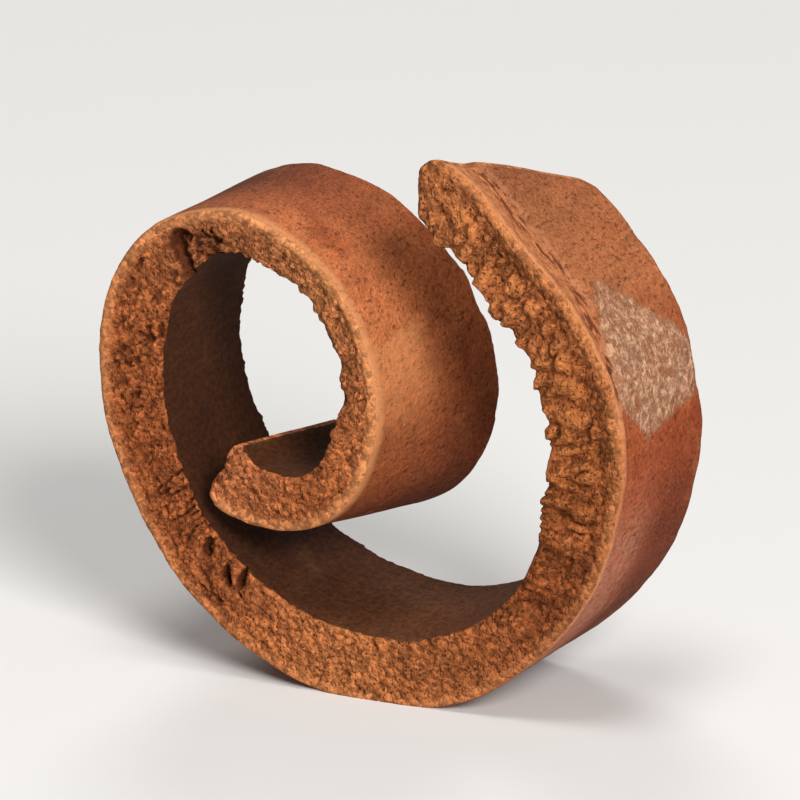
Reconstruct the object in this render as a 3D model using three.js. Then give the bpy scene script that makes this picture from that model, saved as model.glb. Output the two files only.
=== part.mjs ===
// Cinnamon stick: a short length sawn from a thick quill of dried bark. One strip of bark
// starts at a free end at the top right, runs down and round as a wide outer turn, and rolls
// up inside it into a smaller curl. The roll's axis is level, along Y, with the sawn front
// face towards -Y, and the piece stands on a small worn flat under the outer turn.
// Millimetres, +Z up, the origin on the ground under the middle of the piece.

import * as THREE from 'three';
import { mergeVertices } from 'three/addons/utils/BufferGeometryUtils.js';

// Driving dimensions
const CUT_WIDTH = 17.8;            // between the two sawn faces, along the roll's axis
const END_SLANT = 8.3;             // the free end is this much shorter at the back
const TIP_SLANT = 1.7;             // the inner end is this much longer at its inner skin
const TIP_CORNER_LOST = 1.1;       // and this much shorter at its outer bark
const INNER_CORNER_LOST = 2.6;     // the free end is this much shorter at its inner skin
const OUTER_CORNER_LOST = 0.9;     // and this much at its outer bark
const EDGE_ROUNDING = 0.5;         // crumbled edges of the sawn faces
const END_ROUNDING = 1.1;          // worn corners of the free end
const WORN_DEPTH = 0.6;            // lowest bark worn away where the piece stands

// The roll from the free end inwards, as the middle line of the bark. Each stretch has the
// degrees turned and the radius, at the front face and at the back face.
const ROLL = [
  { front: [4.5, 196], back: [4.5, 196] },
  { front: [89, 21.6], back: [89, 21.6] },
  { front: [43, 17.9], back: [43, 17.9] },
  { front: [105, 24.6], back: [105, 24.6] },
  { front: [104, 9.3], back: [88, 9.6] },
  { front: [95, 14.0], back: [83, 17.2] },
  { front: [109, 6.33], back: [122, 8.4] },
];
const FREE_END_HEADING = -44;     // degrees, the strip's direction at its free end
const CURVE_BLEND = 3;             // one radius passes into the next over about this length

// Thickness of the bark: distance from the free end, then thickness at the front and the back
const BARK = [
  [0, 5.2, 4.8],
  [5, 6.7, 5.6],
  [12, 6.5, 6.5],
  [18, 7.0, 7.0],
  [24, 7.7, 7.4],
  [30, 6.7, 7.2],
  [36, 6.0, 6.9],
  [48, 5.4, 6.4],
  [56, 6.3, 6.5],
  [68, 6.4, 6.6],
  [88, 5.7, 5.6],
  [104, 6.1, 5.4],
  [112, 5.6, 4.8],
  [118, 4.5, 4.4],
  [127, 3.6, 3.8],
  [135, 3.4, 3.6],
  [143, 4.1, 3.8],
  [151, 5.1, 4.4],
  [155, 5.1, 4.6],
  [160, 6.4, 4.8],
];

// Swellings of the inner edge of the front face: distance from the free end, then how far the
// edge stands in past the even bark
const LIP = [
  [0, 0],
  [4, 0.6],
  [8, -0.3],
  [12, 0],
  [20, -0.8],
  [27, 0.4],
  [35, 1.1],
  [44, 0.2],
  [60, 0],
  [110, 0],
  [119, -0.5],
  [125, 0],
  [134, 0.5],
  [142, 0],
  [149, -0.5],
  [155, 0.3],
  [160, -0.1],
];

// Relief, placed by distance from the free end
const SAWN = { lump: 2.2, depth: 0.25 };                        // both sawn faces
const CRUMBLY = { from: 1, to: 46, lump: 2.4, depth: 0.8 };     // torn inner part of the front
const PEELED = { full: 12, to: 34, width: 4.2, depth: 0.5 };    // cork lost along the front edge
const CRACK = { at: 113.8, width: 1.0, depth: 1.4 };            // fissure across the front face
const TORN = { from: 115, to: 142, depth: 0.9 };                // inner lip broken back
const BARK_WAVES = { lump: 9, depth: 0.25 };                    // uneven bark, both sides
const BITTEN = { lump: 2.6, depth: 0.35 };                      // inner edge of the crumbly part

// Facets
const STEPS_ALONG = 150;
const STEPS_ACROSS = 11;
const STEPS_THROUGH = 5;
const EDGE_CROWDING = 0.55;        // facets across are finer near the sawn edges
const WALK_STEPS = 800;

const BARK_BROWN = 0xa8653a;

const { clamp, degToRad, lerp, smoothstep } = THREE.MathUtils;

// A fixed random value from -1 to 1 for each point of a lattice
function latticeValue(i, j, k) {
  const spread = Math.sin(127.1 * i + 311.7 * j + 74.7 * k) * 43758.5453;
  return 2 * (spread - Math.floor(spread)) - 1;
}

// Smooth lumps of about the given size in millimetres, from -1 to 1
function lumps(size, a, b, c) {
  const [i, j, k] = [a, b, c].map((value) => Math.floor(value / size));
  const [u, v, w] = [a / size - i, b / size - j, c / size - k].map((t) => smoothstep(t, 0, 1));
  const edge = (dj, dk) => lerp(latticeValue(i, j + dj, k + dk), latticeValue(i + 1, j + dj, k + dk), u);
  return lerp(lerp(edge(0, 0), edge(1, 0), v), lerp(edge(0, 1), edge(1, 1), v), w);
}

// A value from a table of [distance, value, ...] rows, eased between the rows
function fromTable(table, distance, column) {
  const next = table.findIndex((row) => row[0] > distance);
  if (next === -1) {
    return table.at(-1)[column];
  }
  if (next === 0) {
    return table[0][column];
  }
  const [a, b] = [table[next - 1], table[next]];
  return lerp(a[column], b[column], smoothstep(distance, a[0], b[0]));
}

// 1 between two places, fading to 0 over the given length outside them
function between(distance, from, to, fade) {
  return smoothstep(distance, from - fade, from) * (1 - smoothstep(distance, to, to + fade));
}

// Where each stretch begins along one face's line, and where the last one ends
function stretchStarts(face) {
  const starts = [0];
  for (const stretch of ROLL) {
    const [degrees, radius] = stretch[face];
    starts.push(starts.at(-1) + degToRad(degrees) * radius);
  }
  return starts;
}

const frontStarts = stretchStarts('front');
const LENGTH = frontStarts.at(-1);
const REACH = LENGTH + TIP_SLANT;

// Curvature at a distance along one face's line, passing gradually between stretches
function curvature(distance, starts, face) {
  let sum = 0;
  let weights = 0;
  for (let i = 0; i < ROLL.length; i++) {
    const entered = Math.tanh((distance - starts[i]) / CURVE_BLEND);
    const left = Math.tanh((distance - starts[i + 1]) / CURVE_BLEND);
    sum += (entered - left) / ROLL[i][face][1];
    weights += entered - left;
  }
  return sum / weights;
}

// The middle line of the bark on one face, at even steps of the front face's line
function walk(face) {
  const starts = stretchStarts(face);
  const line = [];
  let [x, z, heading, previous] = [0, 0, degToRad(FREE_END_HEADING), 0];
  for (let i = 0; i <= WALK_STEPS; i++) {
    const front = (REACH * i) / WALK_STEPS;
    const k = Math.min(frontStarts.findLastIndex((start) => start <= front), ROLL.length - 1);
    const share = (front - frontStarts[k]) / (frontStarts[k + 1] - frontStarts[k]);
    const distance = lerp(starts[k], starts[k + 1], share);
    const step = distance - previous;
    const turn = step * curvature(distance - step / 2, starts, face);
    x += step * Math.cos(heading - turn / 2);
    z += step * Math.sin(heading - turn / 2);
    heading -= turn;
    previous = distance;
    line.push([x, z, heading]);
  }
  return line;
}

const frontLine = walk('front');
const backLine = walk('back');

// The middle of the bark and its direction, between the front face (0) and the back face (1)
function middle(distance, across) {
  const place = clamp(distance / REACH, 0, 1) * WALK_STEPS;
  const i = Math.min(Math.floor(place), WALK_STEPS - 1);
  const value = (j) => lerp(
    lerp(frontLine[i][j], frontLine[i + 1][j], place - i),
    lerp(backLine[i][j], backLine[i + 1][j], place - i),
    across,
  );
  return { x: value(0), z: value(1), heading: value(2) };
}

// How far the front face is crumbled back, over the wall from the inner skin (-1) to the
// outer bark (1)
function frontCrumbled(distance, out) {
  const inner = 1 - smoothstep(out, 0.2, 0.8);
  const ridges = 0.5 + 0.5 * lumps(CRUMBLY.lump, distance, out * 1.2, 7.3);
  const crumbly = CRUMBLY.depth * ridges * inner * between(distance, CRUMBLY.from, CRUMBLY.to, 4);
  const crackPlace = Math.abs(distance - CRACK.at - 0.7 * out) / CRACK.width;
  const crack = CRACK.depth * Math.max(0, 1 - crackPlace) * (1 - smoothstep(out, 0.3, 0.7));
  const torn = TORN.depth * (0.5 - 0.5 * out) ** 1.5 * between(distance, TORN.from, TORN.to, 2);
  return crumbly + crack + torn * (0.8 + 0.5 * lumps(2.5, distance, out, 3.1));
}

// How much cork is gone from the outer bark, at a depth behind the front face
function corkLost(distance, depth) {
  const width = PEELED.width * (1 - smoothstep(distance, PEELED.full, PEELED.to));
  const edge = width + 0.5 * lumps(4, distance, 2.2, 5.7);
  return PEELED.depth * (1 - smoothstep(depth, edge - 0.6, edge + 0.3)) * smoothstep(width, 0, 1);
}

// Splits a coordinate into the core of a rounded block and the part that is in its rounding
function rounded(value, low, high, radius) {
  const core = clamp(value, low + radius, high - radius);
  return { core, over: value - core };
}

// Moves a point of the flat unit block to its place in the rolled-up bark. along runs from
// the free end to the inner end, across from the front to the back, through from the inner
// skin to the outer bark.
function rollUp(point) {
  const along = point.x;
  const across = point.y;
  let out = 2 * point.z - 1;
  let distance = along * LENGTH + END_SLANT * across * (1 - along);
  let depth = across * CUT_WIDTH;

  // worn and crumbled edges
  const thickness = lerp(fromTable(BARK, distance, 1), fromTable(BARK, distance, 2), across);
  const crumble = EDGE_ROUNDING * (1 + 0.6 * lumps(3, distance, 9 * across, out));
  const ends = rounded(along * LENGTH, 0, LENGTH, END_ROUNDING);
  const faces = rounded(depth, 0, CUT_WIDTH, crumble);
  const skins = rounded(out * thickness / 2, -thickness / 2, thickness / 2, crumble);
  const over = Math.hypot(ends.over / END_ROUNDING, faces.over / crumble, skins.over / crumble);
  const pull = 1 / Math.max(over, 1);
  distance += ends.over * (pull - 1);
  depth = faces.core + faces.over * pull;
  let height = skins.core + skins.over * pull;
  out = (2 * height) / thickness;

  // both ends slant through the thickness of the bark
  const lost = INNER_CORNER_LOST * clamp(-out, 0, 1) ** 1.5 + OUTER_CORNER_LOST * clamp(out, 0, 1) ** 3;
  distance += lost * (1 - smoothstep(along, 0, 0.05));
  const tip = TIP_SLANT * smoothstep(-out, -0.1, 0.8) - TIP_CORNER_LOST * clamp(out, 0, 1) ** 2;
  distance += tip * smoothstep(along, 0.93, 1);

  // relief of the sawn faces
  const nearFront = 1 - smoothstep(across, 0, 0.12);
  const nearBack = smoothstep(across, 0.88, 1);
  const sawn = SAWN.depth * (0.5 + 0.5 * lumps(SAWN.lump, distance, 3 * out, 20 * across));
  depth += nearFront * (sawn + frontCrumbled(distance, out));
  depth -= nearBack * sawn * 2.5;

  // relief of the inner skin and the outer bark
  const wave = BARK_WAVES.depth * lumps(BARK_WAVES.lump, distance, depth, 4 * out + 11);
  const ragged = between(distance, CRUMBLY.from, CRUMBLY.to, 6) * (1 - smoothstep(depth, 2, 6));
  const bitten = BITTEN.depth * ragged * lumps(BITTEN.lump, distance, depth * 0.5, 17.9);
  const lip = fromTable(LIP, distance, 1) * (1 - smoothstep(depth, 2, 8));
  height += wave;
  height += (bitten - lip) * clamp(-out, 0, 1);
  height -= corkLost(distance, depth) * clamp(out, 0, 1);

  const { x, z, heading } = middle(distance, depth / CUT_WIDTH);
  point.set(x - Math.sin(heading) * height, depth, z + Math.cos(heading) * height);
}

// A flat strip of bark in small facets, rolled up and stood on its worn flat
function rolledBark() {
  const block = new THREE.BoxGeometry(1, 1, 1, STEPS_ALONG, STEPS_ACROSS, STEPS_THROUGH);
  block.deleteAttribute('normal');
  block.deleteAttribute('uv');
  const strip = mergeVertices(block, 1e-5);
  const positions = strip.attributes.position;
  const point = new THREE.Vector3();
  for (let i = 0; i < positions.count; i++) {
    point.fromBufferAttribute(positions, i).addScalar(0.5);
    point.y -= (EDGE_CROWDING * Math.sin(2 * Math.PI * point.y)) / (2 * Math.PI);
    rollUp(point);
    positions.setXYZ(i, point.x, point.y, point.z);
  }
  strip.computeBoundingBox();
  const ground = strip.boundingBox.min.z + WORN_DEPTH;
  for (let i = 0; i < positions.count; i++) {
    positions.setZ(i, Math.max(positions.getZ(i), ground));
  }
  strip.computeBoundingBox();
  const { min, max } = strip.boundingBox;
  strip.translate(-(min.x + max.x) / 2, -(min.y + max.y) / 2, -min.z);
  strip.computeVertexNormals();
  return strip;
}

const cinnamon = new THREE.Group();
const bark = new THREE.Mesh(
  rolledBark(),
  new THREE.MeshStandardMaterial({ color: BARK_BROWN, roughness: 0.85, metalness: 0 }),
);
bark.name = 'cinnamon_stick';
cinnamon.add(bark);

export default cinnamon;
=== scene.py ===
"""Cinnamon stick: a short sawn length of thick rolled bark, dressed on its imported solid."""
import itertools
import math

import bmesh
import bpy
import numpy as np
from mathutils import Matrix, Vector


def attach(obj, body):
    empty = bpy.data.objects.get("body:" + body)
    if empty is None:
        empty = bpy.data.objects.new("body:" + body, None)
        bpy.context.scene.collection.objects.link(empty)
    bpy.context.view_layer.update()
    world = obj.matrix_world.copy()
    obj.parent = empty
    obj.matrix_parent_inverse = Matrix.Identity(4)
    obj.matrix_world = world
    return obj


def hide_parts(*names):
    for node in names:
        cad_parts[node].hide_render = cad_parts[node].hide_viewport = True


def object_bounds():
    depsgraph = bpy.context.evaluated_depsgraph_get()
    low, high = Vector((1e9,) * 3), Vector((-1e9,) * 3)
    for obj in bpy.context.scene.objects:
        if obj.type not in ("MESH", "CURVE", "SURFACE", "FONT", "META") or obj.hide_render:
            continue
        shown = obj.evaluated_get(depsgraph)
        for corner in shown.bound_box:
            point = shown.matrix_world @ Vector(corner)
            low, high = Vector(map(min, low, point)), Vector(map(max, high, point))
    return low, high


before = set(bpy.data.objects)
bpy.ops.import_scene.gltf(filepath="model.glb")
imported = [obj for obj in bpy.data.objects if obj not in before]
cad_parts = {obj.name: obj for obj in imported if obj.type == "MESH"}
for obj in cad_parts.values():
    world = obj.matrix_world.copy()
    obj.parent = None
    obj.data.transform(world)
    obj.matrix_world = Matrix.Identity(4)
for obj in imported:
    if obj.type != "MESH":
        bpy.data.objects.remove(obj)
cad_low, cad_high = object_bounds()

MM = 0.001                       # lengths below are in millimetres unless a name says otherwise
NODE = "cinnamon_stick"

# The strip of bark and how it is rolled, as in the solid
CUT_WIDTH = 17.8                 # between the two sawn faces
END_SLANT = 8.3                  # the free end is this much shorter at the back
TIP_SLANT = 1.7                  # the inner end is this much longer at its inner skin
TIP_CORNER_LOST = 1.1            # and this much shorter at its outer bark
INNER_CORNER_LOST = 2.6          # the free end is this much shorter at its inner skin
OUTER_CORNER_LOST = 0.9          # and this much at its outer bark
EDGE_ROUNDING = 0.5              # crumbled edges of the sawn faces
END_ROUNDING = 1.1               # worn corners of the free end

# Degrees turned and radius of each stretch from the free end, at the front and the back face
ROLL = {
    "front": [(4.5, 196), (89, 21.6), (43, 17.9), (105, 24.6), (104, 9.3), (95, 14.0), (109, 6.33)],
    "back": [(4.5, 196), (89, 21.6), (43, 17.9), (105, 24.6), (88, 9.6), (83, 17.2), (122, 8.4)],
}
FREE_END_HEADING = -44           # degrees
CURVE_BLEND = 3

# Thickness: distance from the free end, then thickness at the front and at the back
BARK = [
    (0, 5.2, 4.8),
    (5, 6.7, 5.6),
    (12, 6.5, 6.5),
    (18, 7.0, 7.0),
    (24, 7.7, 7.4),
    (30, 6.7, 7.2),
    (36, 6.0, 6.9),
    (48, 5.4, 6.4),
    (56, 6.3, 6.5),
    (68, 6.4, 6.6),
    (88, 5.7, 5.6),
    (104, 6.1, 5.4),
    (112, 5.6, 4.8),
    (118, 4.5, 4.4),
    (127, 3.6, 3.8),
    (135, 3.4, 3.6),
    (143, 4.1, 3.8),
    (151, 5.1, 4.4),
    (155, 5.1, 4.6),
    (160, 6.4, 4.8),
]

# Swellings of the front face's inner edge: distance, then how far it stands in past the even bark
LIP = [
    (0, 0),
    (4, 0.6),
    (8, -0.3),
    (12, 0),
    (20, -0.8),
    (27, 0.4),
    (35, 1.1),
    (44, 0.2),
    (60, 0),
    (110, 0),
    (119, -0.5),
    (125, 0),
    (134, 0.5),
    (142, 0),
    (149, -0.5),
    (155, 0.3),
    (160, -0.1),
]

# Relief that the solid has too, placed by distance from the free end
SAWN = {"lump": 2.2, "depth": 0.25}
CRUMBLY = {"from": 1, "to": 46, "lump": 2.4, "depth": 0.8}
PEELED = {"full": 12, "to": 34, "width": 4.2, "depth": 0.5}
CRACK = {"at": 113.8, "width": 1.0, "depth": 1.4}
TORN = {"from": 115, "to": 142, "depth": 0.9}
BARK_WAVES = {"lump": 9, "depth": 0.25}
BITTEN = {"lump": 2.6, "depth": 0.35}

# Finer relief of the sawn faces, by distance from the free end and level above the inner skin
GRAIN = {"size": 0.78, "gap": 0.2, "fallen": 0.35}             # fallen: holes where a grain is gone
FINE_GRAIN = {"size": 0.5, "gap": 0.14, "fallen": 0.1575}
GRAIN_WANDER = {"lump": 0.6, "by": 0.22}                       # rows of grains are uneven
BACK_GRAIN = 1.25                                              # the back face is this much coarser
FACE_BLEND = 1.2                                               # relief of a face fades over this depth
MARGIN = {"from": 1.4, "to": 0.5, "smooth": 0.75}              # smoother next to the outer bark
HOLLOWS = {"lump": 1.5, "depth": 0.28}
CLEFTS = {"from": 7, "to": 35, "apart": 0.95, "depth": 0.6}    # across the crumbly part
SWELL = {"lump": 1.6, "depth": 0.25, "raised": 0.35}           # its rounded lumps
SAW_CUTS = {"from": 84.5, "to": 90.5, "apart": 0.66, "depth": 0.75}

# Finer relief of the bark and of the inner edge
CREST = {"from": 4, "to": 30, "height": 0.22}                  # along the peeled band
OLD_CORK = {"lump": 0.8, "height": 0.12}                       # roughness of the pale patch
CHIPS = {"lump": 1.1, "depth": 0.15}                           # out of the long edges
KNOBS = {"lump": 1.5, "height": 0.45}                          # along the crumbly inner edge
SPLINTERS = {"lump": 1.3, "height": 0.6}                       # along the torn inner edge
FIBRES = [(0.55, 0.12, 3, 0.03), (1.7, 0.2, 23, 0.06)]         # width, squeeze, seed, height
PAST_PEEL = 5                    # the peeled band's mark falls by this where the band has run out

# The largest holes: distance, level, half length, half height, degrees turned and depth
DENTS = [
    (79.6, 2.0, 0.4, 1.2, 50, 0.9),
    (78.4, 1.2, 0.4, 1.3, 32, 1.0),
    (83.0, 1.7, 0.6, 0.9, 20, 0.6),
    (116.4, 1.2, 2.0, 1.7, 0, 0.45),
    (117.6, 1.9, 0.6, 0.8, 10, 0.9),
    (114.9, 3.0, 0.5, 0.9, 0, 0.6),
]

# The same for the back face
BACK_DENTS = [
    (22.0, 2.6, 0.5, 1.9, 25, 1.0),
    (37.5, 1.5, 1.6, 1.2, 0, 0.6),
    (60.0, 2.4, 0.4, 1.5, -30, 0.9),
    (61.4, 1.6, 0.4, 1.2, -20, 0.9),
    (84.0, 1.6, 1.8, 1.3, 0, 0.6),
    (103.0, 1.8, 0.5, 1.4, 15, 0.9),
    (131.0, 1.6, 1.2, 1.0, 0, 0.5),
]

# How pitted the sawn face is: distance from the free end, then the strength
PITTED = [
    (0, 0.8), (28, 0.9), (38, 1.2), (46, 1.1), (54, 0.8), (62, 0.75), (72, 0.9), (84, 1.25),
    (104, 1.4), (114, 1.1), (124, 0.85), (160, 0.9),
]

# The patch of pale old cork on the outer bark: corners as distance and depth, taken clockwise
CORK_PATCH = [
    (15.9, 5.8), (21.0, 13.0), (24.4, 17.8), (27.9, 17.8), (29.2, 5.6), (24.8, 0.6), (19.8, 2.6),
]

# The fine mesh
STEPS_ALONG = 818
STEPS_ACROSS = 24
STEPS_THROUGH = 36
EDGE_CROWDING = 0.62             # steps across are finer near the sawn edges
WALK_STEPS = 2000                # along the middle line of the bark

# The picture
AZIMUTH, ELEVATION = 25, 17.2    # degrees
CAMERA_DISTANCE = 0.7            # metres
FRAME_WIDTH = 0.070              # metres of the object's plane that the picture spans
SENSOR = 36
CAMERA_CLIP = 0.01, 20           # metres

# Soft lights: name, azimuth and elevation in degrees as for the camera, and watts
LAMPS = [("key", 47, 31, 17.0), ("overhead", 0, 80, 6.0), ("back_fill", 208, 38, 5.0)]
LAMP_DISTANCE, LAMP_SIZE = 1.2, 0.5   # metres
WORLD_LIGHT = 0.15
FLOOR_HALF = 1.6                 # metres


# ---------------------------------------------------------------- numbers along the strip

def smoothstep(x, low, high):
    t = np.clip((x - low) / (high - low), 0, 1)
    return t * t * (3 - 2 * t)


def lerp(a, b, t):
    return a + (b - a) * t


def between(x, low, high, fade):
    """1 from low to high, fading to 0 over fade outside them."""
    return smoothstep(x, low - fade, low) * (1 - smoothstep(x, high, high + fade))


def lattice_value(i, j, k):
    spread = np.sin(127.1 * i + 311.7 * j + 74.7 * k) * 43758.5453
    return 2 * (spread - np.floor(spread)) - 1


def lumps(size, a, b, c):
    """Smooth lumps of about the given size, from -1 to 1, the same as the solid's."""
    a, b, c = np.broadcast_arrays(np.asarray(a) / size, np.asarray(b) / size, np.asarray(c) / size)
    i, j, k = np.floor(a), np.floor(b), np.floor(c)
    u, v, w = (smoothstep(t, 0, 1) for t in (a - i, b - j, c - k))

    def edge(dj, dk):
        return lerp(lattice_value(i, j + dj, k + dk), lattice_value(i + 1, j + dj, k + dk), u)

    return lerp(lerp(edge(0, 0), edge(1, 0), v), lerp(edge(0, 1), edge(1, 1), v), w)


def grains(size, a, b, c):
    """Packed grains: how far the middle of the nearest one is, in grains, and its own random value."""
    a, b, c = np.broadcast_arrays(np.asarray(a) / size, np.asarray(b) / size, np.asarray(c) / size)
    i, j, k = np.floor(a), np.floor(b), np.floor(c)
    nearest = np.full(a.shape, 9.0)
    value = np.zeros(a.shape)
    for di, dj, dk in itertools.product((-1, 0, 1), repeat=3):
        u, v, w = i + di, j + dj, k + dk
        off_a = a - u - 0.5 - 0.4 * lattice_value(u, v, w)
        off_b = b - v - 0.5 - 0.4 * lattice_value(v + 17, w, u)
        off_c = c - w - 0.5 - 0.4 * lattice_value(w, u + 31, v)
        away = np.sqrt(off_a ** 2 + off_b ** 2 + off_c ** 2)
        value = np.where(away < nearest, lattice_value(u + 7, v + 3, w + 11), value)
        nearest = np.minimum(nearest, away)
    return nearest, value


def from_table(table, distance, column):
    """A value from rows that start with a distance, eased between the rows."""
    rows = np.array(table, float)
    i = np.clip(np.searchsorted(rows[:, 0], distance, side="right") - 1, 0, len(rows) - 2)
    t = smoothstep(distance, rows[i, 0], rows[i + 1, 0])
    return lerp(rows[i, column], rows[i + 1, column], t)


# ---------------------------------------------------------------- the roll

def stretch_starts(face):
    lengths = [math.radians(degrees) * radius for degrees, radius in ROLL[face]]
    return np.concatenate([[0], np.cumsum(lengths)])


LENGTH = stretch_starts("front")[-1]
REACH = LENGTH + TIP_SLANT
STATIONS = np.linspace(0, REACH, WALK_STEPS + 1)


def face_line(face):
    """x, z and heading of the middle of the bark on one face, at even steps of the front line."""
    front_starts, starts = stretch_starts("front"), stretch_starts(face)
    distance = np.interp(STATIONS, front_starts, starts)
    past_end = (starts[-1] - starts[-2]) / (front_starts[-1] - front_starts[-2])
    distance = distance + past_end * np.maximum(STATIONS - LENGTH, 0)
    step = np.diff(distance)
    middle = (distance[1:] + distance[:-1]) / 2
    entered = np.tanh((middle[:, None] - starts[None, :-1]) / CURVE_BLEND)
    left = np.tanh((middle[:, None] - starts[None, 1:]) / CURVE_BLEND)
    radii = np.array([radius for _, radius in ROLL[face]])
    curvature = ((entered - left) / radii).sum(1) / (entered - left).sum(1)
    heading = math.radians(FREE_END_HEADING) - np.concatenate([[0], np.cumsum(step * curvature)])
    mean = (heading[1:] + heading[:-1]) / 2
    x = np.concatenate([[0], np.cumsum(step * np.cos(mean))])
    z = np.concatenate([[0], np.cumsum(step * np.sin(mean))])
    return x, z, heading


FACE_LINES = {face: face_line(face) for face in ROLL}


def middle_of_bark(distance, across):
    """x, z and heading of the middle of the bark, between the front face and the back face."""
    front = [np.interp(distance, STATIONS, values) for values in FACE_LINES["front"]]
    back = [np.interp(distance, STATIONS, values) for values in FACE_LINES["back"]]
    return [lerp(f, b, across) for f, b in zip(front, back)]


# ---------------------------------------------------------------- relief

def crack(distance, out):
    """The fissure across the front face, over the wall from the inner skin (-1) to the bark (1)."""
    place = np.abs(distance - CRACK["at"] - 0.7 * out) / CRACK["width"]
    return CRACK["depth"] * np.maximum(0, 1 - place) * (1 - smoothstep(out, 0.3, 0.7))


def front_crumbled(distance, out):
    """How far the front face is crumbled back, over the wall as for the crack."""
    inner = 1 - smoothstep(out, 0.2, 0.8)
    ridges = 0.5 + 0.5 * lumps(CRUMBLY["lump"], distance, out * 1.2, 7.3)
    crumbly = CRUMBLY["depth"] * ridges * inner * between(distance, CRUMBLY["from"], CRUMBLY["to"], 4)
    torn = TORN["depth"] * np.clip(0.5 - 0.5 * out, 0, 1) ** 1.5
    torn = torn * between(distance, TORN["from"], TORN["to"], 2)
    return crumbly + crack(distance, out) + torn * (0.8 + 0.5 * lumps(2.5, distance, out, 3.1))


def inside_peel(distance, depth):
    """How far a point of the bark is inside the peeled band, and 1 where the band has run out."""
    width = PEELED["width"] * (1 - smoothstep(distance, PEELED["full"], PEELED["to"]))
    return width + 0.5 * lumps(4, distance, 2.2, 5.7) - depth, 1 - smoothstep(width, 0, 1)


def cork_lost(distance, depth):
    """How much cork is gone from the outer bark, at a depth behind the front face."""
    inside, run_out = inside_peel(distance, depth)
    return PEELED["depth"] * smoothstep(inside, -0.3, 0.6) * (1 - run_out)


def rounded(value, low, high, radius):
    """Splits a coordinate into the core of a rounded block and the part that is in its rounding."""
    core = np.clip(value, low + radius, high - radius)
    return core, value - core


def grainy(distance, depth, height, pitted):
    """How far a sawn face is sunk between its grains, and where grains have come out."""
    lump, by = GRAIN_WANDER["lump"], GRAIN_WANDER["by"]
    bent = distance + 0.4 * height + by * lumps(lump, distance, height, depth)
    raised = height + by * lumps(lump, distance, height, depth + 50)
    near, pick = grains(GRAIN["size"], bent * 0.9, raised, depth)
    kept = 1.2 - 0.75 * pitted
    hole = smoothstep(pick, kept, kept + 0.15) * (1 - smoothstep(near, 0.35, 0.6))
    fine, fine_pick = grains(FINE_GRAIN["size"], bent, raised, depth + 40)
    fine_hole = smoothstep(fine_pick, 0.35, 0.6) * (1 - smoothstep(fine, 0.35, 0.6))
    gaps = GRAIN["gap"] * smoothstep(near, 0.25, 0.7) + FINE_GRAIN["gap"] * smoothstep(fine, 0.25, 0.65)
    return pitted * (gaps + FINE_GRAIN["fallen"] * fine_hole) + GRAIN["fallen"] * hole


def hollows(distance, level, pitted):
    """Larger ragged hollows where the wall is most pitted, but not among the saw cuts."""
    field = lumps(HOLLOWS["lump"], distance * 0.8 + 0.35 * level, level, 8)
    field = field + 0.6 * lumps(0.6, distance, level, 19)
    spared = between(distance, SAW_CUTS["from"] - 1, SAW_CUTS["to"] + 1, 1)
    return HOLLOWS["depth"] * smoothstep(field, 0.2, 0.6) * smoothstep(pitted, 0.85, 1.3) * (1 - spared)


def clefts(distance, height):
    """1 in the narrow clefts between the rounded lumps of the crumbly part, 0 on the lumps."""
    bent = distance + 0.5 * lumps(2.2, distance, height, 31) + 0.2 * height
    lump = np.abs(lumps(CLEFTS["apart"], bent, height * 0.55, 12))
    return 1 - smoothstep(lump, 0.0, 0.4)


def on_crumbly_part(distance):
    return between(distance, CLEFTS["from"], CLEFTS["to"], 6)


def torn_ridges(distance, depth, height):
    """Lumps and clefts across the crumbly part of the front face."""
    swell = SWELL["depth"] * lumps(SWELL["lump"], distance, height * 0.6, depth + 70)
    return CLEFTS["depth"] * clefts(distance, height) - swell - SWELL["raised"]


def saw_cuts(distance, level, wall):
    """Short parallel cuts in the inner half of the wall at the lower left."""
    bent = distance + 0.2 * level + 0.3 * lumps(1.4, distance, level, 3)
    wave = (0.5 + 0.5 * np.cos(2 * math.pi * bent / SAW_CUTS["apart"])) ** 2
    wave = wave * (0.75 + 0.5 * lumps(0.8, distance, level * 0.5, 9))
    place = between(distance, SAW_CUTS["from"], SAW_CUTS["to"], 0.4)
    half = between(level, 0.4, 0.55 * wall, 0.5) * (0.8 + 0.2 * lumps(1.0, distance, level, 5))
    return SAW_CUTS["depth"] * wave * place * half


def dents(rows, distance, level):
    """The largest holes of a sawn face, ragged all round."""
    sunk = np.zeros(distance.shape)
    for at, above, length, rise, turned, depth in rows:
        turn = math.radians(turned)
        x = (distance - at) * math.cos(turn) + (level - above) * math.sin(turn)
        y = (level - above) * math.cos(turn) - (distance - at) * math.sin(turn)
        ragged = 0.45 * lumps(0.9, distance, level, at) + 0.5 * lumps(0.45, distance, level, at + 3)
        away = np.hypot(x / length, y / rise) + ragged
        sunk = np.maximum(sunk, depth * (1 - smoothstep(away, 0.6, 1.0)))
    return sunk


def sawn_relief(distance, depth, height, out, wall):
    """How deep the fine relief of the sawn faces is sunk, on the front and on the back."""
    level = height + wall / 2
    pitted = from_table(PITTED, distance, 1)
    margin = 1 - MARGIN["smooth"] * smoothstep(level, wall - MARGIN["from"], wall - MARGIN["to"])
    grain = (grainy(distance, depth, height, pitted) + hollows(distance, level, pitted)) * margin
    crumbly = on_crumbly_part(distance) * (1 - smoothstep(out, 0.1, 0.5))
    front = grain * (1 - 0.5 * crumbly) + crumbly * torn_ridges(distance, depth, height)
    front = front + saw_cuts(distance, level, wall) + dents(DENTS, distance, level)
    return front, BACK_GRAIN * grain + dents(BACK_DENTS, distance, level)


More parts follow.
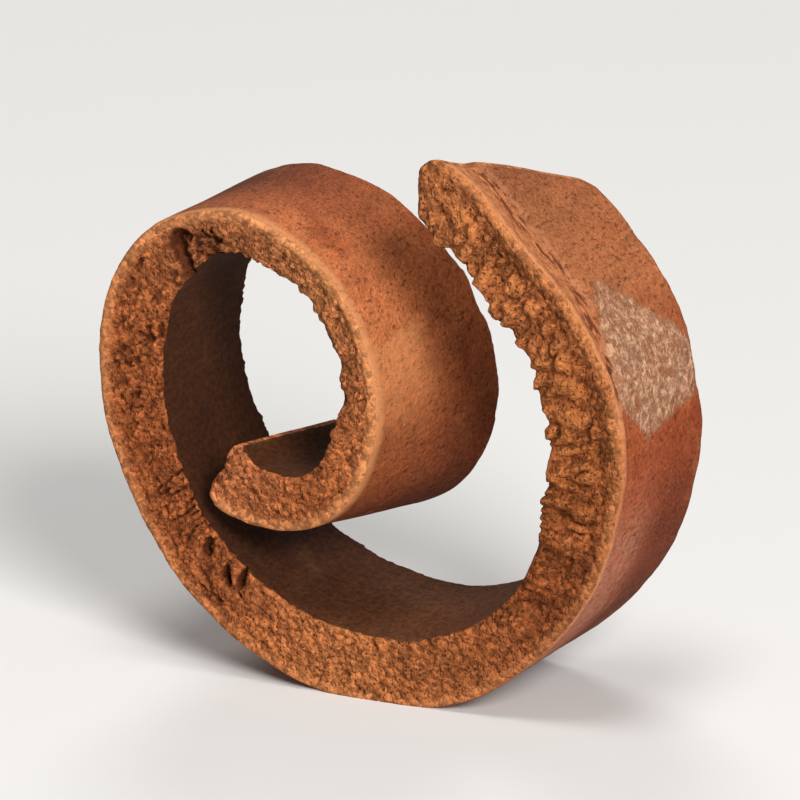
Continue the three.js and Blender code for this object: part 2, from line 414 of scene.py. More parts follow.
def inside_patch(distance, depth):
    """How far a point of the outer bark is inside the border of the pale patch."""
    inside = np.full(distance.shape, 99.0)
    for (s0, d0), (s1, d1) in zip(CORK_PATCH, CORK_PATCH[1:] + CORK_PATCH[:1]):
        side = (distance - s0) * (d1 - d0) - (depth - d0) * (s1 - s0)
        inside = np.minimum(inside, side / math.hypot(s1 - s0, d1 - d0))
    return inside


def outer_relief(distance, depth, up):
    """How far the bark stands out. up is 1 on the bark and 0 from the middle of the wall inwards."""
    crest = between(distance, CREST["from"], CREST["to"], 4) * between(depth, 0.5, 0.9, 0.5)
    cork = smoothstep(inside_patch(distance, depth), 0, 0.5) * lumps(OLD_CORK["lump"], distance, depth, 9)
    rough = OLD_CORK["height"] * cork
    for width, squeeze, seed, rise in FIBRES:
        rough = rough + rise * lumps(width, distance, depth * squeeze, seed)
    return CREST["height"] * crest * up ** 3 + rough * up ** 4 - cork_lost(distance, depth) * up


def inner_relief(distance, depth, wall, down):
    """How far the inner skin is drawn into the wall. down is 1 on the skin and 0 in its middle."""
    ragged = between(distance, CRUMBLY["from"], CRUMBLY["to"], 6) * (1 - smoothstep(depth, 2, 6))
    bitten = BITTEN["depth"] * ragged * lumps(BITTEN["lump"], distance, depth * 0.5, 17.9)
    lip = from_table(LIP, distance, 1) * (1 - smoothstep(depth, 2, 8))
    knobs = lumps(KNOBS["lump"], distance, 0.4 * depth, 57) - 0.5 * clefts(distance, -wall / 2)
    knobs = KNOBS["height"] * knobs * on_crumbly_part(distance) * (1 - smoothstep(depth, 1.5, 5))
    bits = lumps(SPLINTERS["lump"], distance, depth * 0.6, 27) + 0.7 * lumps(0.6, distance, depth, 37)
    bits = SPLINTERS["height"] * bits * between(distance, TORN["from"], TORN["to"], 3)
    bits = bits * (1 - smoothstep(depth, 0.8, 2.2))
    return (bitten - lip) * down + (bits - knobs) * down ** 2


def edge_chips(distance, depth, out):
    """Chips out of the two long edges of the front face, towards the middle of the wall."""
    chips = smoothstep(lumps(CHIPS["lump"], distance, depth, 6 * out), 0.2, 0.8)
    return CHIPS["depth"] * chips * (1 - smoothstep(depth, 0.4, 1.2)) * out ** 3


def worn_edges(along, across, out, distance, wall):
    """Distance, depth and height in the wall, with the worn and crumbled edges rounded off."""
    crumble = EDGE_ROUNDING * (1 + 0.6 * lumps(3, distance, 9 * across, out))
    _, end_over = rounded(along * LENGTH, 0, LENGTH, END_ROUNDING)
    face_core, face_over = rounded(across * CUT_WIDTH, 0, CUT_WIDTH, crumble)
    skin_core, skin_over = rounded(out * wall / 2, -wall / 2, wall / 2, crumble)
    over = np.sqrt((end_over / END_ROUNDING) ** 2 + (face_over / crumble) ** 2 + (skin_over / crumble) ** 2)
    pull = 1 / np.maximum(over, 1)
    return distance + end_over * (pull - 1), face_core + face_over * pull, skin_core + skin_over * pull


def slanted_ends(along, distance, out):
    """Distance with the slant of both ends through the thickness of the bark."""
    up, down = np.clip(out, 0, 1), np.clip(-out, 0, 1)
    lost = INNER_CORNER_LOST * down ** 1.5 + OUTER_CORNER_LOST * up ** 3
    distance = distance + lost * (1 - smoothstep(along, 0, 0.05))
    tip = TIP_SLANT * smoothstep(-out, -0.1, 0.8) - TIP_CORNER_LOST * up ** 2
    return distance + tip * smoothstep(along, 0.93, 1)


def roll_up(along, across, through):
    """Where points of the flat unit block come to lie, and the marks that the finish reads."""
    out = 2 * through - 1
    distance = along * LENGTH + END_SLANT * across * (1 - along)
    wall = lerp(from_table(BARK, distance, 1), from_table(BARK, distance, 2), across)
    distance, depth, height = worn_edges(along, across, out, distance, wall)
    out = 2 * height / wall
    distance = slanted_ends(along, distance, out)

    near_front = 1 - smoothstep(across, 0, 0.12)
    near_back = smoothstep(across, 0.88, 1)
    at_front = 1 - smoothstep(across * CUT_WIDTH, 0, FACE_BLEND)
    at_back = smoothstep(across * CUT_WIDTH, CUT_WIDTH - FACE_BLEND, CUT_WIDTH)
    sawn = SAWN["depth"] * (0.5 + 0.5 * lumps(SAWN["lump"], distance, 3 * out, 20 * across))
    sunk, sunk_behind = sawn_relief(distance, depth, height, out, wall)
    depth = depth + near_front * (sawn + front_crumbled(distance, out)) + at_front * sunk
    depth = depth - near_back * sawn * 2.5 - at_back * sunk_behind

    height = height + BARK_WAVES["depth"] * lumps(BARK_WAVES["lump"], distance, depth, 4 * out + 11)
    height = height + inner_relief(distance, depth, wall, np.clip(-out, 0, 1))
    height = height + outer_relief(distance, depth, np.clip(out, 0, 1)) - edge_chips(distance, depth, out)

    x, z, heading = middle_of_bark(distance, np.clip(depth / CUT_WIDTH, 0, 1))
    place = np.stack([x - np.sin(heading) * height, depth, z + np.cos(heading) * height], -1)
    flat_depth = across * CUT_WIDTH
    flat = np.stack([distance, flat_depth, through * wall], -1)
    inside, run_out = inside_peel(distance, flat_depth)
    marks = {
        "wall": wall,
        "from_end": np.minimum(along, 1 - along) * LENGTH,
        "sunk": np.where(across < 0.5, sunk + crack(distance, out), sunk_behind),
        "patch": inside_patch(distance, flat_depth),
        "peel": inside - PAST_PEEL * run_out,
    }
    return place, flat, marks


# ---------------------------------------------------------------- the mesh

def flat_block():
    """A unit block cut into small even facets on all six sides."""
    bm = bmesh.new()
    bmesh.ops.create_cube(bm, size=1)
    bmesh.ops.translate(bm, vec=(0.5, 0.5, 0.5), verts=bm.verts)
    for axis, steps in enumerate((STEPS_ALONG, STEPS_ACROSS, STEPS_THROUGH)):
        edges = [e for e in bm.edges if abs(e.verts[0].co[axis] - e.verts[1].co[axis]) > 0.5]
        bmesh.ops.subdivide_edges(bm, edges=edges, cuts=steps - 1, use_grid_fill=True)
    mesh = bpy.data.meshes.new("bark_roll")
    bm.to_mesh(mesh)
    bm.free()
    return mesh


def add_mark(mesh, name, kind, values):
    attribute = mesh.attributes.new(name, kind, "POINT")
    field = "vector" if kind == "FLOAT_VECTOR" else "value"
    attribute.data.foreach_set(field, np.ascontiguousarray(values, np.float32).ravel())


def make_bark_roll():
    mesh = flat_block()
    corners = np.empty(len(mesh.vertices) * 3, np.float32)
    mesh.vertices.foreach_get("co", corners)
    along, across, through = corners.reshape(-1, 3).astype(float).T
    across = across - EDGE_CROWDING * np.sin(2 * math.pi * across) / (2 * math.pi)
    place, flat, marks = roll_up(along, across, through)

    # stood on its worn flat, in the solid's own place
    size = (cad_high.z - cad_low.z) / MM
    ground = place[:, 2].max() - size
    place[:, 2] = np.maximum(place[:, 2], ground) - ground
    place[:, 0] -= (place[:, 0].min() + place[:, 0].max()) / 2
    place[:, 1] -= CUT_WIDTH / 2
    middle = np.array([(cad_low.x + cad_high.x) / 2, (cad_low.y + cad_high.y) / 2, cad_low.z])
    mesh.vertices.foreach_set("co", (place * MM + middle).astype(np.float32).ravel())

    add_mark(mesh, "flat", "FLOAT_VECTOR", flat)
    for name, values in marks.items():
        add_mark(mesh, name, "FLOAT", values)
    mesh.polygons.foreach_set("use_smooth", np.ones(len(mesh.polygons), bool))
    mesh.update()
    roll = bpy.data.objects.new("bark_roll", mesh)
    bpy.context.scene.collection.objects.link(roll)
    return roll


# ---------------------------------------------------------------- nodes

def srgb(red, green, blue):
    """A colour given as 0 to 255 screen values, as the linear values that a shader takes."""
    return tuple(((c / 255 + 0.055) / 1.055) ** 2.4 if c > 10 else c / 255 / 12.92
                 for c in (red, green, blue)) + (1.0,)


def add(tree, kind, inputs=None, **settings):
    """A node with its settings, and its inputs joined to sockets or set to values."""
    made = tree.nodes.new(kind)
    for name, value in settings.items():
        setattr(made, name, value)
    for name, value in (inputs or {}).items():
        if isinstance(value, bpy.types.NodeSocket):
            tree.links.new(value, made.inputs[name])
        else:
            made.inputs[name].default_value = value
    return made


def math_node(tree, operation, a, b=0.0, c=0.0):
    return add(tree, "ShaderNodeMath", {0: a, 1: b, 2: c}, operation=operation).outputs[0]


def product(tree, *values):
    result = values[0]
    for value in values[1:]:
        result = math_node(tree, "MULTIPLY", result, value)
    return result


def weighted_sum(tree, *terms):
    """The sum of values, each given with its weight."""
    total = 0.0
    for value, weight in terms:
        total = math_node(tree, "MULTIPLY_ADD", value, weight, total)
    return total


def step_node(tree, value, low, high, start=0.0, end=1.0):
    """start below low and end above high, eased between them."""
    node = add(tree, "ShaderNodeMapRange",
               {"Value": value, "From Min": low, "From Max": high, "To Min": start, "To Max": end},
               interpolation_type="SMOOTHSTEP")
    return node.outputs["Result"]


def band_node(tree, value, rise, fall):
    """1 between two eased borders, each given as its lower and its upper limit."""
    return product(tree, step_node(tree, value, *rise), step_node(tree, value, *fall, 1.0, 0.0))


def mix_colour(tree, share, first, second):
    return add(tree, "ShaderNodeMix", {0: share, 6: first, 7: second}, data_type="RGBA").outputs[2]


def mix_value(tree, share, first, second):
    return add(tree, "ShaderNodeMix", {0: share, 2: first, 3: second}, data_type="FLOAT").outputs[0]


def tint(tree, colour, name, mask, strength=1.0):
    """A colour mixed with one of the named colours where a mask is 1."""
    return mix_colour(tree, product(tree, mask, strength), colour, srgb(*COLOURS[name]))


def mottle(tree, colour, pattern, low_shade, high_shade, low=0.3, high=0.7):
    """A colour made darker or lighter where a pattern is low and where it is high."""
    factor = step_node(tree, pattern, low, high, low_shade, high_shade)
    return add(tree, "ShaderNodeVectorMath", {0: colour, "Scale": factor}, operation="SCALE").outputs[0]


def stretched(tree, vector, x, y, z):
    return add(tree, "ShaderNodeVectorMath", {0: vector, 1: (x, y, z)}, operation="MULTIPLY").outputs[0]


def noise(tree, vector, scale, detail=4.0, roughness=0.6):
    node = add(tree, "ShaderNodeTexNoise",
               {"Vector": vector, "Scale": scale, "Detail": detail, "Roughness": roughness})
    return node.outputs["Fac"]


def mark(tree, name, output="Fac"):
    return add(tree, "ShaderNodeAttribute", attribute_name=name).outputs[output]


def tones(tree, distance, rows, column=1):
    """A colour that changes along the strip, from rows of distance and screen colours."""
    ramp = add(tree, "ShaderNodeValToRGB", {"Fac": math_node(tree, "DIVIDE", distance, LENGTH)})
    elements = ramp.color_ramp.elements
    elements.remove(elements[-1])
    elements[0].position, elements[0].color = rows[0][0] / LENGTH, srgb(*rows[0][column])
    for row in rows[1:]:
        elements.new(row[0] / LENGTH).color = srgb(*row[column])
    return ramp.outputs["Color"]


# ---------------------------------------------------------------- shared effects

def new_group(name, inputs, outputs):
    """A node group with named inputs, as (name, kind, value), and named outputs, as (name, kind)."""
    tree = bpy.data.node_groups.new(name, "ShaderNodeTree")
    for socket, kind, value in inputs:
        made = tree.interface.new_socket(socket, in_out="INPUT", socket_type=kind)
        if value is not None:
            made.default_value = value
    for socket, kind in outputs:
        tree.interface.new_socket(socket, in_out="OUTPUT", socket_type=kind)
    return tree, tree.nodes.new("NodeGroupInput").outputs, tree.nodes.new("NodeGroupOutput").inputs


def use_group(tree, group, inputs):
    return add(tree, "ShaderNodeGroup", inputs, node_tree=group).outputs


def warped(tree, vector, scale, x, y, z):
    """A vector bent by slow noise, by up to x, y and z."""
    warp = add(tree, "ShaderNodeTexNoise", {"Vector": vector, "Scale": scale, "Detail": 2.0})
    return add(tree, "ShaderNodeVectorMath", {0: warp.outputs["Color"], 1: (x, y, z), 2: vector},
               operation="MULTIPLY_ADD").outputs[0]


def make_blotch_group():
    """Soft irregular patches: Amount is roughly the share of the surface that they cover."""
    tree, given, result = new_group(
        "blotches",
        [("Vector", "NodeSocketVector", None), ("Size", "NodeSocketFloat", 5.0),
         ("Amount", "NodeSocketFloat", 0.3), ("Softness", "NodeSocketFloat", 0.1)],
        [("Mask", "NodeSocketFloat")])
    scale = math_node(tree, "DIVIDE", 1.0, given["Size"])
    field = noise(tree, given["Vector"], scale, 5.0, 0.62)
    level = math_node(tree, "MULTIPLY_ADD", given["Amount"], -0.36, 0.68)
    high = math_node(tree, "ADD", level, given["Softness"])
    tree.links.new(step_node(tree, field, level, high), result["Mask"])
    return tree


def make_streak_group():
    """Fibres that run across the strip, which is along the roll's axis."""
    tree, given, result = new_group(
        "fibre_streaks",
        [("Flat", "NodeSocketVector", None), ("Width", "NodeSocketFloat", 0.5),
         ("Stretch", "NodeSocketFloat", 8.0)],
        [("Value", "NodeSocketFloat")])
    scale = math_node(tree, "DIVIDE", 1.0, given["Width"])
    squeeze = math_node(tree, "DIVIDE", 1.0, given["Stretch"])
    bent = warped(tree, given["Flat"], 0.25, 1.2, 0.6, 0.6)
    factors = add(tree, "ShaderNodeCombineXYZ", {"X": 1.0, "Y": squeeze, "Z": 1.0}).outputs[0]
    laid = add(tree, "ShaderNodeVectorMath", {0: bent, 1: factors}, operation="MULTIPLY").outputs[0]
    tree.links.new(noise(tree, laid, scale, 5.0, 0.65), result["Value"])
    return tree


def make_grain_group():
    """Packed crumbs: a tone for each crumb, their rounded height, and small open pores."""
    tree, given, result = new_group(
        "crumb_grain",
        [("Vector", "NodeSocketVector", None), ("Size", "NodeSocketFloat", 0.5),
         ("Open", "NodeSocketFloat", 0.3)],
        [("Tone", "NodeSocketFloat"), ("Height", "NodeSocketFloat"), ("Pore", "NodeSocketFloat")])
    scale = math_node(tree, "DIVIDE", 1.0, given["Size"])
    bent = warped(tree, given["Vector"], 1.6, 0.4, 0.4, 0.4)
    cells = add(tree, "ShaderNodeTexVoronoi", {"Vector": bent, "Scale": scale, "Randomness": 1.0})
    picked = add(tree, "ShaderNodeSeparateXYZ", {0: cells.outputs["Color"]}).outputs
    dome = step_node(tree, cells.outputs["Distance"], 0.15, 0.75, 1.0, 0.0)
    fine = noise(tree, given["Vector"], math_node(tree, "MULTIPLY", scale, 1.6), 4.0, 0.65)
    shut = math_node(tree, "SUBTRACT", 1.0, given["Open"])
    fallen = step_node(tree, picked["X"], shut, math_node(tree, "ADD", shut, 0.08))
    tree.links.new(mix_value(tree, 0.5, picked["Y"], fine), result["Tone"])
    tree.links.new(math_node(tree, "MULTIPLY_ADD", fine, 0.8, dome), result["Height"])
    tree.links.new(math_node(tree, "MULTIPLY", fallen, dome), result["Pore"])
    return tree


def blotches(tree, groups, vector, size, amount, softness):
    inputs = {"Vector": vector, "Size": size, "Amount": amount, "Softness": softness}
    return use_group(tree, groups["blotches"], inputs)["Mask"]


def streaks(tree, groups, flat, width, stretch):
    inputs = {"Flat": flat, "Width": width, "Stretch": stretch}
    return use_group(tree, groups["streaks"], inputs)["Value"]


# ---------------------------------------------------------------- finish

# Colours along the strip: distance from the free end, then the screen colour
# Along the sawn faces the tones are partly their own and partly painted light and shade: darkest near 44 and
# lightest near 68.
SAWN_TONES = [
    (0, (160, 96, 55)), (16, (152, 88, 48)), (30, (146, 83, 43)), (44, (136, 73, 38)),
    (56, (158, 92, 51)), (68, (180, 109, 62)), (78, (160, 90, 49)), (92, (156, 85, 46)),
    (106, (164, 92, 50)), (116, (162, 97, 58)), (128, (174, 109, 65)), (140, (168, 99, 57)),
    (150, (164, 93, 51)), (160, (176, 104, 62)),
]
# The inner skin is dark brown of its own, and from 72 on darker still, partly as painted shade under and
# inside the curl.
SKIN_TONES = [
    (0, (96, 54, 28)), (48, (102, 61, 37)), (62, (96, 58, 36)), (72, (72, 39, 20)),
    (84, (60, 32, 16)), (100, (70, 37, 17)), (130, (74, 40, 18)), (155, (74, 40, 18)),
]

# The same for the outer bark, with one colour near the front face and one deeper in. The darker colours
# deeper in, most of all on the curl from 106 to 124, and the darker colours at the free end are partly
# painted shade from neighbouring pieces
BARK_TONES = [
    (0, (118, 62, 38), (112, 60, 38)),
    (9, (146, 88, 54), (144, 84, 50)),
    (18, (154, 92, 56), (156, 92, 56)),
    (29, (150, 74, 40), (140, 64, 33)),
    (37, (158, 87, 58), (110, 50, 28)),
    (46, (166, 96, 68), (102, 52, 32)),
    (60, (146, 82, 54), (110, 59, 37)),
    (76, (138, 75, 45), (120, 66, 41)),
    (92, (132, 69, 41), (116, 62, 38)),
    (106, (136, 74, 45), (100, 53, 33)),
    (116, (144, 80, 49), (88, 44, 28)),
    (124, (166, 92, 54), (128, 66, 38)),
    (134, (180, 104, 61), (172, 96, 55)),
    (142, (160, 87, 49), (148, 78, 43)),
    (152, (118, 58, 31), (106, 52, 29)),
]

# The other screen colours of the finish
COLOURS = {
    "ruddy": (122, 52, 28),
    "sandy": (186, 116, 72),
    "dusty": (134, 95, 72),
    "dark speck": (78, 35, 21),
    "pale speck": (206, 143, 95),
    "curl edge": (200, 136, 88),
    "scuff": (216, 146, 92),
    "grey remains": (172, 128, 106),
    "patch": (144, 94, 67),
    "patch freckle": (202, 154, 120),
    # pale flecks of the cork, partly painted glints
    "patch fleck and glint": (226, 202, 176),
    "peeled": (142, 80, 47),
    "peeled fibre": (182, 116, 74),
    "broken bark": (186, 126, 90),
    # partly painted shade of the groove at the cork's edge
    "slit and groove shade": (84, 36, 20),
    "crest": (206, 138, 90),
    "skin cloud": (116, 77, 44),
    "margin": (186, 124, 78),
    # painted highlight on the tops of raised crumbs
    "raised crumb highlight": (194, 122, 68),
    # pore and hole: painted shade in the pores, holes and crack of the sawn faces
    "shaded_pore": (84, 37, 17),
    "hole": (66, 27, 11),
    "floor": (214, 212, 209),
}

# Blotches of the outer bark: colour, direction of the pattern, size, share, softness and strength
BLOTCHES = [
    ("ruddy", (1, 1, 1), 6.0, 0.4, 0.2, 0.55),
    ("sandy", (1, 1, -1), 5.0, 0.4, 0.25, 0.5),
    ("dusty", (-1, 0.6, 1), 3.0, 0.25, 0.15, 0.3),
]


def plain_bark(tree, groups, flat, distance, depth):
    """The outer bark's colour, darker deeper in partly as painted shade, and its height: fibres, blotches,
    dots and specks.
    """
    broad = streaks(tree, groups, flat, 1.5, 9.0)
    thin = streaks(tree, groups, flat, 0.3, 6.0)
    dots = noise(tree, flat, 3.2, 3.0, 0.8)
    dark = step_node(tree, noise(tree, stretched(tree, flat, 1, 0.5, 1), 2.8, 3.0, 0.7), 0.57, 0.67)
    pale = step_node(tree, noise(tree, stretched(tree, flat, -1, 0.8, 1), 4.5, 2.0, 0.6), 0.60, 0.72)

    # The colour deeper in is partly painted shade from neighbouring pieces.
    deeper = step_node(tree, math_node(tree, "MULTIPLY_ADD", broad, 3.0, depth), 4.0, 14.0)
    near_front, further_in_partly_shaded = tones(tree, distance, BARK_TONES, 1), tones(tree, distance, BARK_TONES, 2)
    colour = mix_colour(tree, deeper, near_front, further_in_partly_shaded)
    for name, direction, size, share, softness, strength in BLOTCHES:
        mask = blotches(tree, groups, stretched(tree, flat, *direction), size, share, softness)
        colour = tint(tree, colour, name, mask, strength)
    colour = mottle(tree, colour, broad, 0.86, 1.12)
    colour = mottle(tree, colour, thin, 0.90, 1.09)
    colour = mottle(tree, colour, dots, 0.68, 1.30, 0.32, 0.68)
    colour = tint(tree, colour, "dark speck", dark, 0.62)
    colour = tint(tree, colour, "pale speck", pale, 0.24)
    return colour, weighted_sum(tree, (thin, 0.09), (broad, 0.1), (dots, 0.08), (dark, -0.06))


def curl_marks(tree, colour, flat, distance, depth):
    """Paler along the sawn edge of the inner curl, and a scuff with a sharp slanted border."""
    edge = product(tree, step_node(tree, depth, 0.7, 1.8, 1.0, 0.0), step_node(tree, distance, 100.0, 116.0))
    colour = tint(tree, colour, "curl edge", edge, 0.65)
    slant = math_node(tree, "MULTIPLY_ADD", depth, -0.1, distance)
    slant = math_node(tree, "MULTIPLY_ADD", noise(tree, flat, 0.7, 4.0), 2.4, slant)
    scuff = band_node(tree, slant, (136.0, 137.0), (138.0, 147.0))
    return tint(tree, colour, "scuff", scuff, step_node(tree, depth, 7.0, 12.0, 0.3, 0.0))


def grey_remains(tree, groups, colour, flat, distance, depth):
    """Thin remains of old cork: blotches low on the roll and behind, and a strip beside the patch."""
    old = blotches(tree, groups, stretched(tree, flat, 1, -0.7, 1), 7.0, 0.42, 0.08)
    behind = product(tree, old, band_node(tree, distance, (46.0, 54.0), (102.0, 112.0)))
    beside = product(tree, band_node(tree, distance, (33.0, 38.0), (48.0, 55.0)),
                     step_node(tree, depth, 5.0, 9.5, 0.8, 0.0))
    crumbs = step_node(tree, noise(tree, stretched(tree, flat, 1, 0.7, 1), 1.6, 5.0, 0.75), 0.43, 0.60)
    remains = product(tree, math_node(tree, "MAXIMUM", behind, beside), crumbs)
    return tint(tree, colour, "grey remains", remains, 0.7)


def cork_patch(tree, colour, flat, distance, patch):
    """The patch of pale old cork, freckled, with pale flecks that are partly painted glints, worn through,
    and its roughness.
    """
    ragged = math_node(tree, "MULTIPLY_ADD", noise(tree, flat, 0.9, 5.0, 0.75), 3.0, -1.4)
    cork = step_node(tree, math_node(tree, "ADD", patch, ragged), -0.1, 0.5)
    freckle = step_node(tree, noise(tree, stretched(tree, flat, 1, 0.8, 1), 1.7, 5.0, 0.75), 0.36, 0.6)
    pale = tint(tree, srgb(*COLOURS["patch"]), "patch freckle", freckle)
    pale = mottle(tree, pale, noise(tree, flat, 4.0, 2.0), 0.82, 1.18)
    # Pale flecks of the cork, partly painted glints.
    flecks_and_glints = step_node(tree, noise(tree, flat, 2.6, 3.0, 0.8), 0.60, 0.70)
    pale = tint(tree, pale, "patch fleck and glint", flecks_and_glints, step_node(tree, distance, 17.0, 26.0, 0.25, 0.8))
    worn = noise(tree, stretched(tree, flat, 1, 1, -1), 0.7, 4.0, 0.7)
    kept = product(tree, step_node(tree, worn, 0.36, 0.5, 0.45, 1.0),
                   step_node(tree, distance, 15.0, 22.0, 0.6, 0.95))
    return mix_colour(tree, product(tree, cork, kept), colour, pale), product(tree, freckle, cork)


def peeled_band(tree, colour, flat, distance, depth, peel):
    """The peeled band: torn fibres, the broken edge of the bark with dark slits that are partly painted
    shade of the groove under it, and a pale crest at the sawn face.
    """
    wander = math_node(tree, "MULTIPLY_ADD", noise(tree, flat, 0.8, 4.0), 1.4, -0.95)
    border = math_node(tree, "ADD", peel, wander)
    fibres = noise(tree, stretched(tree, flat, 0.65, 1.4, 1), 1.7, 5.0, 0.75)
    peeled = tint(tree, srgb(*COLOURS["peeled"]), "peeled fibre", step_node(tree, fibres, 0.36, 0.64))
    colour = tint(tree, colour, "broken bark", step_node(tree, border, -0.45, -0.2), 0.3)
    colour = mix_colour(tree, step_node(tree, border, 0.0, 0.3), colour, peeled)

    # Dark slits just inside the border: torn fibres, partly painted shade of the groove under the cork's
    # broken edge.
    slits = noise(tree, stretched(tree, flat, 0.45, 1.5, 1), 1.1, 4.0, 0.65)
    torn = product(tree, band_node(tree, border, (-0.1, 0.2), (0.8, 1.6)),
                   step_node(tree, slits, 0.48, 0.55))
    colour = tint(tree, colour, "slit and groove shade", torn, 0.85)

    worn = step_node(tree, noise(tree, flat, 1.8, 4.0, 0.7), 0.3, 0.6, 0.35, 1.0)
    crest = product(tree, step_node(tree, depth, 0.7, 1.3, 1.0, 0.0),
                    step_node(tree, distance, 40.0, 54.0, 0.6, 0.0), worn)
    return tint(tree, colour, "crest", crest)


def bark_finish(tree, groups, flat, distance, depth, patch, peel):
    """Colour and height of the outer bark."""
    colour, height = plain_bark(tree, groups, flat, distance, depth)
    colour = curl_marks(tree, colour, flat, distance, depth)
    colour = grey_remains(tree, groups, colour, flat, distance, depth)
    colour, roughness = cork_patch(tree, colour, flat, distance, patch)
    colour = peeled_band(tree, colour, flat, distance, depth, peel)
    return colour, math_node(tree, "MULTIPLY_ADD", roughness, 0.12, height)


def skin_finish(tree, groups, flat, distance):
    """Colour and height of the dusty inner skin."""
    fibres = streaks(tree, groups, flat, 0.9, 7.0)
    dust = noise(tree, stretched(tree, flat, 1, 0.7, 1), 1.7, 5.0, 0.85)
    cloudy = blotches(tree, groups, flat, 6.0, 0.45, 0.3)
    colour = tint(tree, tones(tree, distance, SKIN_TONES), "skin cloud", cloudy, 0.4)
    colour = mottle(tree, colour, fibres, 0.86, 1.12)
    colour = mottle(tree, colour, dust, 0.60, 1.42, 0.36, 0.64)
    return colour, weighted_sum(tree, (fibres, 0.15), (dust, 0.2))


def sawn_finish(tree, groups, solid, distance, depth, level, wall, sunk):
    """Colour and height of the sawn faces: packed crumbs with painted highlights on their tops and painted
    shade in the holes and pores, smoother next to the bark.
    """
    coarse = use_group(tree, groups["grain"], {"Vector": solid, "Size": 0.58, "Open": 0.2})
    turned = stretched(tree, solid, -1, 1, 1)
    small = use_group(tree, groups["grain"], {"Vector": turned, "Size": 0.27, "Open": 0.25})
    below_bark = math_node(tree, "SUBTRACT", wall, level)
    margin = product(tree, step_node(tree, below_bark, 0.4, 1.5, 1.0, 0.0),
                     step_node(tree, distance, 76.0, 96.0, 0.5, 1.0))
    open_part = math_node(tree, "MULTIPLY_ADD", margin, -0.7, 1.0)

    colour = tint(tree, tones(tree, distance, SAWN_TONES), "margin", margin, 0.6)
    colour = mottle(tree, colour, noise(tree, solid, 0.35, 3.0, 0.6), 0.86, 1.12)
    strong = mottle(tree, colour, coarse["Tone"], 0.70, 1.36, 0.25, 0.75)
    even = mottle(tree, colour, coarse["Tone"], 0.86, 1.16, 0.25, 0.75)
    colour = mix_colour(tree, step_node(tree, depth, 12.0, 15.0), strong, even)
    colour = mottle(tree, colour, small["Tone"], 0.80, 1.20, 0.25, 0.75)
    # Painted light and shade on the relief: lighter where the face stands out, darker where it is sunk.
    colour = mottle(tree, colour, sunk, 1.16, 0.86, -0.3, 0.5)
    # Painted highlight on the tops of the raised crumbs.
    colour = tint(tree, colour, "raised crumb highlight", step_node(tree, sunk, -0.3, 0.1, 1.0, 0.0), 0.4)
    # Painted shade in the small pores.
    shaded_pore = product(tree, math_node(tree, "MAXIMUM", coarse["Pore"], small["Pore"]), open_part)
    colour = tint(tree, colour, "shaded_pore", shaded_pore, 0.7)
    # Painted shade where the face is sunk deepest: its holes, cuts and the crack.
    colour = tint(tree, colour, "hole", step_node(tree, sunk, 0.4, 0.85), 0.85)

    height = weighted_sum(tree, (coarse["Height"], 0.18), (small["Height"], 0.08), (shaded_pore, -0.25))
    return colour, product(tree, height, open_part)


def make_bark_material():
    groups = {"blotches": make_blotch_group(), "streaks": make_streak_group(), "grain": make_grain_group()}
    material = bpy.data.materials.new("cinnamon_bark")
    material.use_nodes = True
    tree = material.node_tree
    tree.nodes.clear()

    flat = mark(tree, "flat", "Vector")
    parts = add(tree, "ShaderNodeSeparateXYZ", {0: flat}).outputs
    distance, depth, level = parts["X"], parts["Y"], parts["Z"]
    place = add(tree, "ShaderNodeTexCoord").outputs["Object"]
    solid = stretched(tree, place, 1 / MM, 1 / MM, 1 / MM)

    # where the cut and broken faces are, with crumbled borders
    to_back = math_node(tree, "SUBTRACT", CUT_WIDTH, depth)
    to_face = math_node(tree, "MINIMUM", depth, to_back)
    nearest = math_node(tree, "MINIMUM", to_face, mark(tree, "from_end"))
    wobble = math_node(tree, "MULTIPLY_ADD", noise(tree, solid, 1.1, 4.0), 0.9, -0.45)
    cut = step_node(tree, math_node(tree, "ADD", nearest, wobble), 0.10, 0.32, 1.0, 0.0)
    inside = step_node(tree, level, 0.3, 0.7, 1.0, 0.0)

    bark, bark_height = bark_finish(
        tree, groups, flat, distance, depth, mark(tree, "patch"), mark(tree, "peel"))
    skin, skin_height = skin_finish(tree, groups, flat, distance)
    sawn, sawn_height = sawn_finish(
        tree, groups, solid, distance, depth, level, mark(tree, "wall"), mark(tree, "sunk"))
    surface = mix_colour(tree, cut, mix_colour(tree, inside, bark, skin), sawn)
    height = mix_value(tree, cut, mix_value(tree, inside, bark_height, skin_height), sawn_height)
    bump = add(tree, "ShaderNodeBump", {"Strength": 1.0, "Distance": MM, "Height": height}).outputs[0]

    shader = add(tree, "ShaderNodeBsdfPrincipled",
                 {"Base Color": surface, "Roughness": 0.9, "Specular IOR Level": 0.1, "Normal": bump})
    output = add(tree, "ShaderNodeOutputMaterial")
    tree.links.new(shader.outputs["BSDF"], output.inputs["Surface"])
    return material


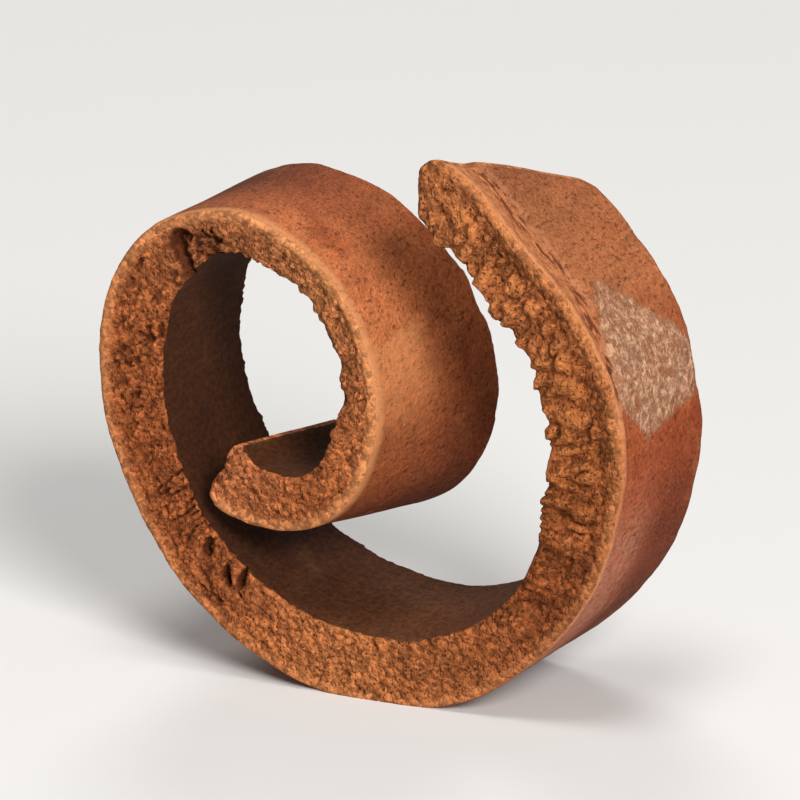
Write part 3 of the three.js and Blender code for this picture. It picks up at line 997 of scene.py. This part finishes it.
def make_floor():
    bm = bmesh.new()
    bmesh.ops.create_grid(bm, x_segments=1, y_segments=1, size=FLOOR_HALF)
    mesh = bpy.data.meshes.new("floor")
    bm.to_mesh(mesh)
    bm.free()
    floor = bpy.data.objects.new("floor", mesh)
    bpy.context.scene.collection.objects.link(floor)
    material = bpy.data.materials.new("pale_floor")
    material.use_nodes = True
    shader = material.node_tree.nodes["Principled BSDF"]
    shader.inputs["Base Color"].default_value = srgb(*COLOURS["floor"])
    shader.inputs["Roughness"].default_value = 0.9
    mesh.materials.append(material)
    return floor


# ---------------------------------------------------------------- light and camera

def aim(thing, target):
    thing.rotation_mode = "QUATERNION"
    thing.rotation_quaternion = (target - thing.location).to_track_quat("-Z", "Y")


def towards(azimuth, elevation):
    """A direction from the piece, by degrees round from its front and degrees up."""
    a, e = math.radians(azimuth), math.radians(elevation)
    return Vector((math.sin(a) * math.cos(e), -math.cos(a) * math.cos(e), math.sin(e)))


def soft_light(target, name, azimuth, elevation, watts):
    light = bpy.data.lights.new(name, "AREA")
    light.shape = "DISK"
    light.size = LAMP_SIZE
    light.energy = watts
    lamp = bpy.data.objects.new(name, light)
    bpy.context.scene.collection.objects.link(lamp)
    lamp.location = target + towards(azimuth, elevation) * LAMP_DISTANCE
    aim(lamp, target)


def light_studio(target):
    world = bpy.data.worlds.new("studio")
    bpy.context.scene.world = world
    world.use_nodes = True
    background = world.node_tree.nodes["Background"]
    background.inputs["Color"].default_value = (1.0, 1.0, 1.0, 1.0)
    background.inputs["Strength"].default_value = WORLD_LIGHT
    for lamp in LAMPS:
        soft_light(target, *lamp)


def place_camera(target):
    camera = bpy.data.cameras.new("camera")
    camera.sensor_width = SENSOR
    camera.lens = SENSOR * CAMERA_DISTANCE / FRAME_WIDTH
    camera.clip_start, camera.clip_end = CAMERA_CLIP
    seen_from = bpy.data.objects.new("camera", camera)
    bpy.context.scene.collection.objects.link(seen_from)
    seen_from.location = target + towards(AZIMUTH, ELEVATION) * CAMERA_DISTANCE
    aim(seen_from, target)
    bpy.context.scene.camera = seen_from


def main():
    centre = (cad_low + cad_high) / 2
    place_camera(centre)
    roll = make_bark_roll()
    roll.data.materials.append(make_bark_material())
    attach(roll, "root")
    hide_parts(NODE)
    floor = make_floor()
    light_studio(centre)
    bpy.context.scene.view_settings.view_transform = "Standard"


main()
